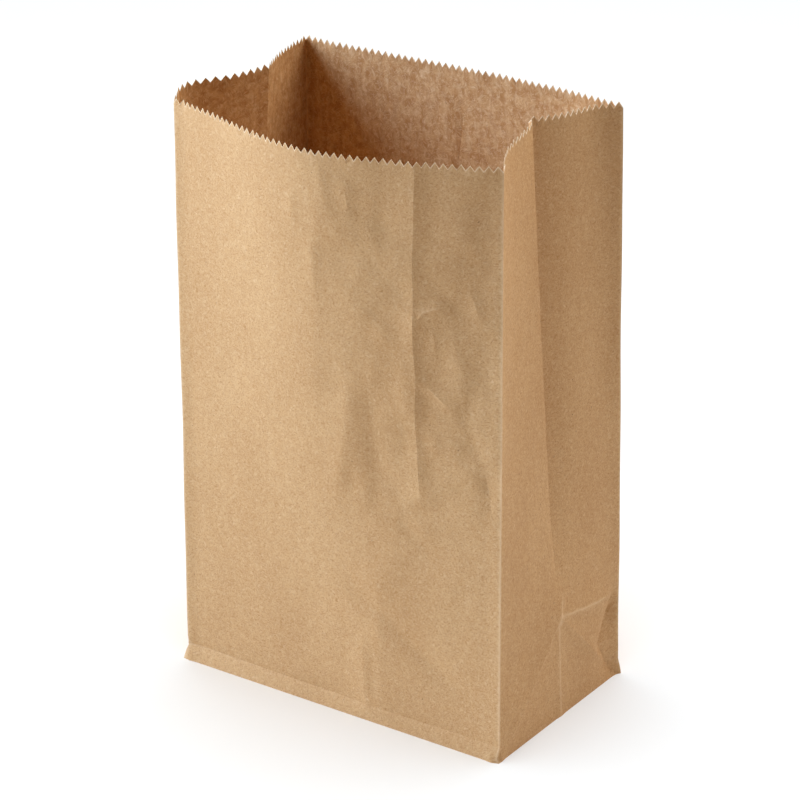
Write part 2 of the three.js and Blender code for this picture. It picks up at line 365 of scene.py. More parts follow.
    def plan(self, around, up):
        """Places in plan."""
        around = around % self.round
        panel = self.panel_of(around)
        start = self.folds[panel]
        part = (around - start) / (self.folds[panel + 1] - start)
        answers = (
            self.flat_panel(0, part, up, self.front_bow),
            self.gusset(1, part, up, 1, self.RIGHT_CREASE, self.right_bows),
            self.flat_panel(2, part, up, self.back_bow),
            self.gusset(3, part, up, -1, self.LEFT_CREASE, self.left_bows),
        )
        return np.choose(panel[..., None], answers)

    def outward(self, around, up):
        """The direction out of the wall, in plan, halfway between the two sides at a fold."""
        reach = 0.8
        line = self.plan(around + reach, up) - self.plan(around - reach, up)
        out = np.stack([line[..., 1], -line[..., 0]], -1)
        return out / np.linalg.norm(out, axis=-1, keepdims=True)


# ------------------------------------------------------------------ wrinkles

class Crease:
    """A crease in the paper along a line: a crest, or a valley where its height is negative.

    Its two flanks fall away over their own widths, on the side of smaller and of larger
    around for an upright line, and above and below for a level one."""

    def __init__(self, points, height, widths, fades=(True, True), wear_and_highlight=0):
        self.points = np.array(points, float)
        self.height = height
        self.widths = widths
        self.fades = fades
        self.wear_and_highlight = wear_and_highlight

    def lift(self, around, up):
        """How far the crease moves each place outwards, and how much pale wear and painted highlight it
        gets there.
        """
        here = np.stack([around, up], -1)
        start, line = self.points[:-1], np.diff(self.points, axis=0)
        lengths = np.linalg.norm(line, axis=1)
        passed = np.concatenate([[0], np.cumsum(lengths)])
        best = np.full(around.shape, 1e9)
        side = np.zeros(around.shape)
        along = np.zeros(around.shape)
        for first, step, length, before in zip(start, line, lengths, passed):
            part = np.clip(((here - first) @ step) / length**2, 0, 1)
            gap = here - (first + part[..., None] * step)
            distance = np.linalg.norm(gap, axis=-1)
            nearer = distance < best
            best = np.where(nearer, distance, best)
            cross = gap[..., 0] * step[1] - gap[..., 1] * step[0]
            side = np.where(nearer, cross, side)
            along = np.where(nearer, (before + part * length) / passed[-1], along)
        if self.points[-1][1] < self.points[0][1]:
            side = -side
        width = np.where(side > 0, self.widths[1], self.widths[0])
        strength = np.ones(around.shape)
        if self.fades[0]:
            strength = strength * smoothstep(0, 0.35, along)
        if self.fades[1]:
            strength = strength * smoothstep(1, 0.65, along)
        flank = np.clip(1 - best / width, 0, 1) ** 1.7
        # Folds and creases are painted pale along their line: partly rubbed wear, partly painted
        # highlight.
        wear_and_highlight_here = self.wear_and_highlight * strength * np.clip(1 - best / WEAR_AND_HIGHLIGHT_REACH, 0, 1)
        return self.height * strength * flank, wear_and_highlight_here


def crease_lists(tube):
    """Folds, which keep their depth at the corners, and wrinkles, which die away there."""
    w, d, apex, top = tube.width, tube.depth, tube.apex, tube.top
    folds = [Crease([(x, 0), (x, top)], 0.55, (6, 6), (False, False), wear_and_highlight=1)
             for x in (-d, 0, w, w + d)]
    wrinkles = [
        # The front, from its left fold.
        Crease([(121.4, top), (120.6, 226), (119.2, 205), (118.7, 178)], 1.1, (14, 7), (False, False),
               wear_and_highlight=0.5),
        Crease([(118.7, 178), (118.2, 168), (118.9, 157), (117.6, 136), (118.4, 115), (119.4, 90)],
               0.8, (9, 6), (False, True), wear_and_highlight=0.5),
        Crease([(118.7, 178), (122.7, 184.3), (129.1, 186.8), (134.6, 188.4)], 0.8, (3.5, 7), wear_and_highlight=0.7),
        Crease([(124, 185), (127, 172), (123.4, 160)], 0.4, (5, 4)),
        Crease([(134.6, 188.4), (133.4, 176), (137.5, 160), (135.8, 143)], 0.45, (7, 6)),
        Crease([(139, 200), (143.5, 186), (146, 178)], 0.5, (5, 6)),
        Crease([(118.9, 157), (125.7, 151.6), (135.8, 143.1)], 0.7, (4, 8), wear_and_highlight=0.6),
        Crease([(121.5, 143), (126, 136), (132, 126)], -0.5, (6, 6)),
        Crease([(150.5, 173), (143, 157.6), (137.6, 143.5), (145.8, 121.3), (151.5, 90)], -0.6, (6, 9)),
        Crease([(90.5, 160), (88, 130), (82.5, 104), (84.6, 84)], 1.0, (16, 13)),
        Crease([(98, 158), (100.5, 111), (97.5, 96), (86.5, 83.5)], -0.6, (9, 12)),
        Crease([(84, 240), (78, 190), (74, 146), (70, 90)], 0.45, (40, 12), (False, True)),
        Crease([(97, 4), (99, 90)], 1.2, (34, 48), (False, True)),
        Crease([(76.8, 76), (86.8, 58), (104, 47), (122.7, 32), (136.6, 24), (149, 9)], -0.8, (9, 14)),
        Crease([(89.5, 42), (90.5, 2)], 0.5, (12, 5), (True, False)),
        Crease([(70, 228), (68, 208)], 0.3, (6, 4)),
        Crease([(84, 239), (86, 217)], 0.35, (6, 5)),
        Crease([(94, 236), (95, 213)], 0.5, (7, 5)),
        Crease([(78.5, 212), (76.5, 182)], 0.4, (7, 5)),
        Crease([(106, 240), (103, 216), (107, 200)], 0.3, (6, 5)),
        Crease([(113.5, 168), (114.5, 136)], 0.3, (6, 4)),
        Crease([(3, PRESS_MARK + 3), (75, PRESS_MARK + 1), (149, PRESS_MARK)], -0.14, (1.8, 1.8),
               (False, False), wear_and_highlight=0.3),
    ]
    # The gussets, from their front fold; the left one is counted the other way.
    back = d
    for side in (1, -1):
        def on_gusset(*points):
            return [(w + x if side > 0 else -x, up) for x, up in points]

        folds += [
            Crease(on_gusset((apex, apex), (apex, top)), -2.6 if side > 0 else -0.5, (3, 16)[::side],
                   (True, False), wear_and_highlight=0.5),
            Crease(on_gusset((0, 0), (apex, apex)), 1.7, (20, 4)[::side], (True, False), wear_and_highlight=0.4),
            Crease(on_gusset((apex, apex), (back, 0)), 1.2, (5, 14)[::side], (False, True), wear_and_highlight=0.5),
            Crease(on_gusset((apex, apex), (66, 40.5), (back, 37.5)), 1.2, (4, 11), (False, True),
                   wear_and_highlight=0.9),
            Crease(on_gusset((apex, apex), (apex + 0.5, 20), (apex + 1, 0)), 0.35, (5, 5),
                   (False, False), wear_and_highlight=0.9),
            Crease(on_gusset((apex - 7, apex - 9), (apex, apex), (apex + 5, apex + 12)), 0.7, (1.5, 3),
                   (True, True), wear_and_highlight=1),
        ]
        wrinkles += [
            Crease(on_gusset((back - 2, 33), (back - 12, 18), (back - 4, 3)), -2.6, (9, 12)[::side],
                   (False, False)),
            Crease(on_gusset((2, PRESS_MARK - 2), (37, PRESS_MARK - 5), (apex + 5, PRESS_MARK),
                             (back - 2, PRESS_MARK)), -0.14, (1.8, 1.8), (False, False), wear_and_highlight=0.3),
        ]
    # The back, which was handled as the front was.
    rng = np.random.default_rng(21)
    for _ in range(14):
        x, z = rng.uniform(w + d + 12, 2 * w + d - 40), rng.uniform(25, 215)
        lean, length = rng.uniform(-0.5, 0.5), rng.uniform(18, 45)
        path = [(x, z - length / 2), (x + lean * 9, z), (x + lean * 14, z + length / 2)]
        wrinkles.append(Crease(path, rng.uniform(0.25, 0.8) * rng.choice((-1, 1)), (9, 6)))
    return folds, wrinkles


class Facets:
    """The shallow, flat-sided crumple of handled paper: random points at random heights,
    with flat triangles between them."""

    def __init__(self, tube, spacing, seed):
        rng = np.random.default_rng(seed)
        columns = int(tube.round / spacing)
        rows = int(tube.top / spacing) + 1
        grid = [(i * tube.round / columns, j * tube.top / rows)
                for i in range(-columns // 2, columns + 2) for j in range(-1, rows + 2)]
        shake = rng.uniform(-0.4, 0.4, (len(grid), 2)) * spacing
        points = np.array(grid) + shake
        self.heights = rng.uniform(-1, 1, len(points))
        found = delaunay_2d_cdt([Vector(p) for p in points], [], [], 0, 1e-6)
        self.points = np.array([tuple(v) for v in found[0]])
        self.faces = np.array([f for f in found[2]])
        origin = [ids[0] for ids in found[3]]
        self.heights = self.heights[origin]

    def lift(self, around, up):
        """Height of the facets at each place, -1 to 1."""
        here = np.stack([around, up], -1)
        height = np.zeros(around.shape)
        a, b, c = (self.points[self.faces[:, i]] for i in range(3))
        for pa, pb, pc, face in zip(a, b, c, self.faces):
            low, high = np.minimum(np.minimum(pa, pb), pc), np.maximum(np.maximum(pa, pb), pc)
            near = np.flatnonzero(((here >= low) & (here <= high)).all(-1))
            if not len(near):
                continue
            basis = np.array([pb - pa, pc - pa]).T
            if abs(np.linalg.det(basis)) < 1e-9:
                continue
            share = np.linalg.solve(basis, (here[near] - pa).T).T
            inside = (share >= -1e-9).all(-1) & (share.sum(-1) <= 1 + 1e-9)
            share, near = share[inside], near[inside]
            first, second, third = self.heights[face]
            height[near] = first + share[:, 0] * (second - first) + share[:, 1] * (third - first)
        return height


def relief(tube, layout, around, up):
    """How far folds and wrinkles move each place out of the smooth wall, and its pale wear and painted
    highlight.
    """
    folds, wrinkles = crease_lists(tube)
    panel = tube.panel_of(around)
    on_front = panel == 0
    lift = np.zeros(around.shape)
    wear_and_highlight = np.zeros(around.shape)
    for crease in wrinkles:
        height, wear_and_highlight_here = crease.lift(around, up)
        lift += height
        wear_and_highlight = np.maximum(wear_and_highlight, wear_and_highlight_here)
    crumple = sum(Facets(tube, width, seed).lift(around, up) * height
                  for width, height, seed in CRUMPLE)
    front_part = around / tube.width
    handled = smoothstep(0.45, 0.68, front_part) * smoothstep(50, 110, up)
    strength = np.where(on_front, 0.2 + 0.8 * handled, 0.4)
    lift += crumple * strength
    lift += 0.5 * cloud(around, up, 55, 1) * np.where(on_front, 0.6, 1)
    # Wrinkles die away at the folds, where the paper is stiff, and at the foot.
    place = around % tube.round
    near_fold = np.abs(place[..., None] - tube.folds).min(-1)
    middle = np.abs(place - (tube.folds[panel] + tube.folds[panel + 1]) / 2)
    near_fold = np.where(panel % 2 == 1, np.minimum(near_fold, middle), near_fold)
    # The glued seam is two plies and stays flat.
    near_seam = np.maximum(0, np.abs(place - layout.outer_edge + layout.lap / 2) - layout.lap / 2)
    lift *= smoothstep(0, 4, near_fold) * smoothstep(-1, 8, up) * smoothstep(0, 14, near_seam)
    # Folds that meet don't add up: the highest crest and the deepest valley count.
    crest, valley = np.zeros(around.shape), np.zeros(around.shape)
    for crease in folds:
        height, wear_and_highlight_here = crease.lift(around, up)
        crest = np.maximum(crest, height)
        valley = np.minimum(valley, height)
        wear_and_highlight = np.maximum(wear_and_highlight, wear_and_highlight_here)
    lift += crest + valley
    # The foot, which the bottom fold holds out a little, most at the front left corner.
    flare = np.where(on_front, FOOT_FLARE[0] + (FOOT_FLARE[1] - FOOT_FLARE[0]) * front_part, 0.25)
    foot = np.clip(1 - up / FOOT_BAND, 0, 1)
    lift += flare * foot - 0.2 * flare * np.clip(1 - np.abs(up - FOOT_BAND) / 3, 0, 1)
    # A pale line painted along the foot band: painted highlight, strongest at the front left and faint
    # at the right.
    at_band = np.clip(1 - np.abs(up - FOOT_BAND) / WEAR_AND_HIGHLIGHT_REACH, 0, 1)
    wear_and_highlight = np.maximum(wear_and_highlight, 0.7 * at_band * np.where(on_front, 1 - 0.8 * front_part, 0.2))
    return lift, wear_and_highlight


# ------------------------------------------------------------------ laying out the sheet

def spaced(start, end, step):
    """Points from start to end, both kept, at most step apart."""
    start, end = np.array(start, float), np.array(end, float)
    count = max(1, math.ceil(np.linalg.norm(end - start) / step - 1e-6))
    return [start + (end - start) * i / count for i in range(count + 1)]


def triangulate(outline, lines, step):
    """Flat triangles inside a convex outline, with the outline and lines as edges."""
    points, edges = [], []

    def add_path(path, closed=False):
        first = len(points)
        points.extend(path)
        count = len(path)
        edges.extend((first + i, first + i + 1) for i in range(count - 1))
        if closed:
            edges.append((first + count - 1, first))

    add_path(outline, closed=True)
    for line in lines:
        path = [np.array(line[0], float)]
        for a, b in zip(line, line[1:]):
            path.extend(spaced(a, b, step)[1:])
        add_path(path)
    fixed = np.array(points)
    starts = fixed[[e[0] for e in edges]]
    ends = fixed[[e[1] for e in edges]]

    low, high = fixed.min(0), fixed.max(0)
    row_step = step * math.sqrt(3) / 2
    for row in range(1, int((high[1] - low[1]) / row_step) + 1):
        y = low[1] + row * row_step
        xs = np.arange(low[0] + (row % 2) * step / 2, high[0], step)
        here = np.stack([xs, np.full(len(xs), y)], -1)
        near_y = (np.minimum(starts[:, 1], ends[:, 1]) - step < y) & (
            np.maximum(starts[:, 1], ends[:, 1]) + step > y)
        if near_y.any():
            a, line = starts[near_y], (ends - starts)[near_y]
            offset = here[:, None] - a[None]
            part = np.clip((offset * line).sum(-1) / np.maximum((line**2).sum(-1), 1e-9), 0, 1)
            gap = np.linalg.norm(offset - part[..., None] * line, axis=-1).min(1)
            here = here[gap > 0.5 * step]
        points.extend(here)
    found = delaunay_2d_cdt([Vector(p) for p in points], edges, [], 0, 1e-5)
    return np.round([tuple(v) for v in found[0]], 4), [tuple(f) for f in found[2]]


class PaperMesh:
    """The sheet's outer face: points in space, and triangles whose corners know their place
    on the flat sheet. Points at the same place are one, so that flaps join the walls."""

    def __init__(self):
        self.numbers = {}
        self.points = []
        self.sheet = []
        self.wear_and_highlight = []
        self.cut_place = []
        self.cut_way = []
        self.faces = []
        self.corner_sheet = []

    def add(self, places, sheet, wear_and_highlight, faces):
        """Adds triangles and gives the number of each of their points."""
        used = {i for face in faces for i in face}
        numbers = {}
        for i in sorted(used):
            key = tuple(np.round(places[i], 3))
            if key not in self.numbers:
                self.numbers[key] = len(self.points)
                self.points.append(places[i])
                self.sheet.append(sheet[i])
                self.wear_and_highlight.append(wear_and_highlight[i])
                self.cut_place.append(-1.0)
                self.cut_way.append((0.0, 0.0, 0.0))
            numbers[i] = self.numbers[key]
        for face in faces:
            corners = [numbers[i] for i in face]
            if len(set(corners)) == 3:
                self.faces.append(corners)
                self.corner_sheet.append([sheet[i] for i in face])
        return numbers

    def mark_cut(self, numbers, along, way):
        """Marks points of a cut edge, with their place along it and the way its teeth stand."""
        for number, place, direction in zip(numbers, along, way):
            self.cut_place[number] = place
            self.cut_way[number] = direction


class Layout:
    """The flat sheet's measures, and how it is cut."""

    def __init__(self, tube, sizes):
        pitch = sizes.tooth_pitch / MM
        self.half = pitch / 2
        self.step = sizes.mesh_step / MM
        self.ply = sizes.ply / MM
        self.lap = round(sizes.seam_width / MM / self.half) * self.half
        # The sheet's free edges: the inner one under the lap, and the outer one on it.
        self.outer_edge = 2 * tube.width + tube.depth - 8 * pitch
        self.inner_edge = self.outer_edge - self.lap - tube.round
        self.reach = round((tube.apex + sizes.flap_lap / MM) / self.half) * self.half

    def level(self, start, end, up):
        """Points along a level cut, half a tooth apart."""
        count = round(abs(end - start) / self.half)
        return [(start + (end - start) * i / count, up) for i in range(count + 1)]


def place_wall(tube, layout, sheet):
    """The wall's places in space, and their pale wear and painted highlight."""
    around, up = sheet.T
    lift, wear_and_highlight = relief(tube, layout, around, up)
    # The lap lies on the sheet's other end, one ply further out.
    lap_start = layout.outer_edge - layout.lap
    lift = lift + 1.05 * layout.ply * smoothstep(lap_start - 4, lap_start, around)
    plan = tube.plan(around, up) + tube.outward(around, up) * lift[:, None]
    return np.column_stack([plan, up]), wear_and_highlight


def build_wall(tube, layout, paper):
    """The four walls, from the sheet's inner edge round to the outer one."""
    start, end, top = layout.inner_edge, layout.outer_edge, tube.top
    side = [p[1] for p in spaced((0, 0), (0, top), layout.step)]
    outline = layout.level(start, end, 0)[:-1]
    outline += [(end, z) for z in side[:-1]]
    outline += layout.level(end, start, top)[:-1]
    outline += [(start, z) for z in side[:0:-1]]
    folds, wrinkles = crease_lists(tube)
    lines = [crease.points for crease in folds + wrinkles]
    lines.append([(start, FOOT_BAND), (end, FOOT_BAND)])
    lines.append([(end - layout.lap, 0), (end - layout.lap, top)])
    sheet, faces = triangulate(outline, lines, layout.step)
    places, wear_and_highlight = place_wall(tube, layout, sheet)
    numbers = paper.add(places, sheet, wear_and_highlight, faces)
    cut = [i for i in numbers if abs(sheet[i][1] - top) < 1e-3]
    rng = np.random.default_rng(5)
    out = tube.outward(sheet[cut, 0], sheet[cut, 1])
    # A few tips are bent a little in or out.
    bent = rng.normal(0, 0.1, len(cut))
    way = np.column_stack([out * bent[:, None], np.ones(len(cut))])
    paper.mark_cut([numbers[i] for i in cut], sheet[cut, 0] - start, way)


def build_flap(tube, layout, paper, panel, square, plies):
    """A bottom flap, folded in under the bag. Its ends run in at 45 degrees, or stay square on
    a gusset's flap, which is tucked in over the others."""
    low, high = tube.folds[panel], tube.folds[panel + 1]
    reach = layout.reach
    inset = 0.6 if square else reach
    start = (low + inset, -TUCK) if square else (low, 0)
    end = (high - inset, -TUCK) if square else (high, 0)
    down = spaced(start, (low + inset, -reach), layout.step)[:-1]
    back = spaced((high - inset, -reach), end, layout.step)[1:]
    if not square:
        # The fold's own ends are already on the outline.
        down, back = down[1:], back[:-1]
    outline = layout.level(low, high, 0)[::-1] + down
    outline += layout.level(low + inset, high - inset, -reach) + back
    sheet, faces = triangulate(outline, [], layout.step)
    # The triangles outside the flap's slanting ends are left out.
    middle = sheet[np.array(faces)].mean(1)
    cut_back = inset * np.minimum(1, -middle[:, 1] / TUCK) if square else -middle[:, 1]
    inside = np.abs(middle[:, 0] - (low + high) / 2) < (high - low) / 2 - cut_back
    faces = [face for face, kept in zip(faces, inside) if kept]
    around, depth = sheet[:, 0], -sheet[:, 1]
    # The left gusset and the back are counted on the sheet from its other end.
    shift = -tube.round if panel == 3 else 0
    fold, _ = place_wall(tube, layout, np.column_stack([around + shift, 0 * around]))
    inward = np.array([(0, 1), (-1, 0), (0, -1), (1, 0)][panel], float)
    places = fold.copy()
    places[:, :2] += inward * depth[:, None]
    places[:, 2] = plies * layout.ply * smoothstep(0, 3, depth)
    numbers = paper.add(places, sheet + (shift, 0), np.zeros(len(sheet)), faces)
    cut = [i for i in numbers if abs(depth[i] - reach) < 1e-3]
    way = [(*inward, 0)] * len(cut)
    paper.mark_cut([numbers[i] for i in cut], sheet[cut, 0] - low, way)


def close_sheet(paper, layout):
    """The sheet with its thickness: points, faces and, for each face, its kind and its corners'
    places on the flat sheet."""
    outer = np.array(paper.points)
    faces = np.array(paper.faces)
    flat = np.array(paper.corner_sheet)
    a, b, c = (outer[faces[:, i]] for i in range(3))
    normal = np.cross(b - a, c - a)
    total = np.zeros(outer.shape)
    for i in range(3):
        np.add.at(total, faces[:, i], normal)
    total /= np.linalg.norm(total, axis=1, keepdims=True)
    count = len(outer)
    # The end under the lap thins out, so that it lies flat against the inside of the bag.
    sheet = np.array(paper.sheet)
    thin = 0.1 + 0.9 * smoothstep(0, 4, sheet[:, 0] - layout.inner_edge)
    points = np.concatenate([outer, outer - total * (layout.ply * thin)[:, None]])
    turned = faces[:, [0, 2, 1]]
    edges = np.concatenate([faces[:, [0, 1]], faces[:, [1, 2]], faces[:, [2, 0]]])
    known = {tuple(edge) for edge in edges.tolist()}
    rim = sorted(edge for edge in known if edge[::-1] not in known)
    all_faces = faces.tolist() + (turned + count).tolist()
    all_faces += [[end, start, start + count, end + count] for start, end in rim]
    corners = [*flat.reshape(-1, 2), *flat[:, [0, 2, 1]].reshape(-1, 2)]
    for start, end in rim:
        corners += [sheet[end], sheet[start], sheet[start], sheet[end]]
    kinds = [0] * len(faces) + [1] * len(faces) + [2] * len(rim)
    return points, all_faces, np.array(corners), kinds


def sheet_mesh(paper, layout):
    """The closed sheet as a mesh with the attributes that the cut and the paper read."""
    points, faces, corners, kinds = close_sheet(paper, layout)
    mesh = bpy.data.meshes.new(BAG_NAME)
    mesh.from_pydata((points * MM).tolist(), [], faces)
    flat = mesh.uv_layers.new(name="flat_sheet")
    flat.data.foreach_set("uv", (corners * MM).ravel())

    def put(name, kind, domain, values):
        mesh.attributes.new(name, kind, domain).data.foreach_set(
            "vector" if kind == "FLOAT_VECTOR" else "value", np.asarray(values, float).ravel())

    # The points of the inner skin repeat what the outer ones know.
    put("cut_place", "FLOAT", "POINT", np.tile(np.array(paper.cut_place), 2) * MM)
    put("cut_way", "FLOAT_VECTOR", "POINT", np.tile(np.array(paper.cut_way), (2, 1)))
    # The pale line along folds and the foot band: partly wear, partly painted highlight.
    put("wear_and_highlight", "FLOAT", "POINT", np.tile(np.array(paper.wear_and_highlight), 2))
    # A painted highlight along the cut edges: the faces next to a cut are painted pale.
    put("cut_edge_highlight", "FLOAT", "POINT", np.tile(np.array(paper.cut_place) >= 0, 2))
    put("inner_face", "FLOAT", "FACE", np.array(kinds) == 1)
    put("raw_edge", "FLOAT", "FACE", np.array(kinds) == 2)
    return mesh


# ------------------------------------------------------------------ the pinked cut

def pinked_cut_tree():
    """Geometry Nodes that stand the marked cut edges up into saw teeth."""
    tree = bpy.data.node_groups.new("pinked cut", "GeometryNodeTree")
    face = tree.interface
    face.new_socket("Geometry", in_out="INPUT", socket_type="NodeSocketGeometry")
    face.new_socket("Tooth Pitch", in_out="INPUT", socket_type="NodeSocketFloat")
    face.new_socket("Tooth Height", in_out="INPUT", socket_type="NodeSocketFloat")
    face.new_socket("Paper", in_out="INPUT", socket_type="NodeSocketMaterial")
    face.new_socket("Geometry", in_out="OUTPUT", socket_type="NodeSocketGeometry")
    start = add_node(tree, "NodeGroupInput")
    place = add_node(tree, "GeometryNodeInputNamedAttribute", {"data_type": "FLOAT"},
                     {"Name": "cut_place"})
    way = add_node(tree, "GeometryNodeInputNamedAttribute", {"data_type": "FLOAT_VECTOR"},
                   {"Name": "cut_way"})
    on_cut = add_node(tree, "FunctionNodeCompare", {"data_type": "FLOAT", "operation": "GREATER_EQUAL"},
                      {1: 0.0}, _0=place.outputs["Attribute"])
    teeth = add_node(tree, "ShaderNodeMath", {"operation": "DIVIDE"},
                     _0=place.outputs["Attribute"], _1=start.outputs["Tooth Pitch"])
    # Up and down once in each tooth: 0 in the gaps and 1 at the tips.
    wave = add_node(tree, "ShaderNodeMath", {"operation": "PINGPONG"}, {1: 0.5}, _0=teeth.outputs[0])
    rise = add_node(tree, "ShaderNodeMath", {"operation": "MULTIPLY"},
                    _0=wave.outputs[0], _1=start.outputs["Tooth Height"])
    twice = add_node(tree, "ShaderNodeMath", {"operation": "MULTIPLY"}, {1: 2.0}, _0=rise.outputs[0])
    offset = add_node(tree, "ShaderNodeVectorMath", {"operation": "SCALE"},
                      _0=way.outputs["Attribute"], Scale=twice.outputs[0])
    moved = add_node(tree, "GeometryNodeSetPosition", Geometry=start.outputs["Geometry"],
                     Selection=on_cut.outputs["Result"], Offset=offset.outputs[0])
    real = add_node(tree, "GeometryNodeRealizeInstances", Geometry=moved.outputs[0])
    paper = add_node(tree, "GeometryNodeSetMaterial", Geometry=real.outputs[0],
                     Material=start.outputs["Paper"])
    add_node(tree, "NodeGroupOutput", Geometry=paper.outputs[0])
    return tree


def pinked(blank, sizes, paper):
    """The sheet with its cut edges pinked, as a plain mesh."""
    tree = pinked_cut_tree()
    cutter = blank.modifiers.new("pinked cut", "NODES")
    cutter.node_group = tree
    values = {"Tooth Pitch": sizes.tooth_pitch, "Tooth Height": sizes.tooth_height, "Paper": paper}
    for socket in tree.interface.items_tree:
        if socket.name in values:
            cutter[socket.identifier] = values[socket.name]
    ready = blank.evaluated_get(bpy.context.evaluated_depsgraph_get())
    mesh = bpy.data.meshes.new_from_object(ready)
    blank.modifiers.remove(cutter)
    return mesh


def build_bag(context, material):
    """The whole bag as one object: the walls, the flaps, the paper's thickness and the teeth."""
    sizes = context.scene.lunch_bag_sizes
    tube = Tube(sizes)
    layout = Layout(tube, sizes)
    paper = PaperMesh()
    build_wall(tube, layout, paper)
    for panel, square, plies in FLAPS:
        build_flap(tube, layout, paper, panel, square, plies)
    bag = bpy.data.objects.new(BAG_NAME, sheet_mesh(paper, layout))
    context.collection.objects.link(bag)
    blank = bag.data
    bag.data = pinked(bag, sizes, material)
    bpy.data.meshes.remove(blank)
    bag.data.name = BAG_NAME
    bag.data.shade_smooth()
    bag.data.set_sharp_from_angle(angle=math.radians(SHARP_ANGLE))
    return bag


# ------------------------------------------------------------------ the paper

def pattern(tree, place, across, along, turn, detail, low, high, top):
    """Noise from 0 to top, with lumps so many millimetres across and along the bag, turned by
    an angle in degrees. It is 0 where the noise is below low, and top where it is above high."""
    turned = add_node(tree, "ShaderNodeVectorRotate", {"rotation_type": "Z_AXIS"},
                      {"Angle": math.radians(turn)}, Vector=place)
    scaled = add_node(tree, "ShaderNodeVectorMath", {"operation": "MULTIPLY"},
                      {1: (1 / across, 1 / along, 1)}, _0=turned.outputs[0])
    grain = add_node(tree, "ShaderNodeTexNoise", None,
                     {"Scale": 1.0, "Detail": detail, "Roughness": 0.6}, Vector=scaled.outputs[0])
    raised = add_node(tree, "ShaderNodeMapRange", {"interpolation_type": "SMOOTHSTEP"},
                      {1: low, 2: high, 4: top}, Value=grain.outputs[0])
    return raised.outputs[0]


# The layers of the paper's colour, from the bottom: what it is, its colour, across, along,
# turn, detail, low, high, how strong it is outside and how strong inside.
# Real fibres are 0.03 mm wide; these are drawn ten times as wide, so that they show.
PULP_LAYERS = (
    # On the inside the clouds are much stronger: partly mottling, partly painted shade that darkens the
    # inside.
    ("clouds", "shade", 3.4, 4.4, 0, 4.0, 0.36, 0.66, 0.16, 0.75),
    ("broad clouds", "shade", 38, 60, 20, 1.0, 0.3, 0.7, 0.2, 0.12),
    ("web streaks", "light", 1.6, 30, 0, 1.0, 0.45, 0.7, 0.05, 0.2),
    ("knots", "light", 2.6, 3.4, 30, 2.5, 0.5, 0.68, 0.1, 0.4),
    ("fine grain", "shade", 0.7, 0.8, 0, 2.0, 0.44, 0.7, 0.42, 0.3),
    ("pale grain", "light", 0.9, 1.0, 50, 2.0, 0.5, 0.72, 0.34, 0.2),
    ("pale fibres", "light", 0.34, 2.2, 24, 0.0, 0.62, 0.72, 0.16, 0.42),
    ("crossing fibres", "light", 0.34, 2.0, -58, 0.0, 0.62, 0.72, 0.16, 0.42),
    ("dark fibres", "shade", 0.36, 1.3, 70, 0.0, 0.64, 0.72, 0.45, 0.35),
)


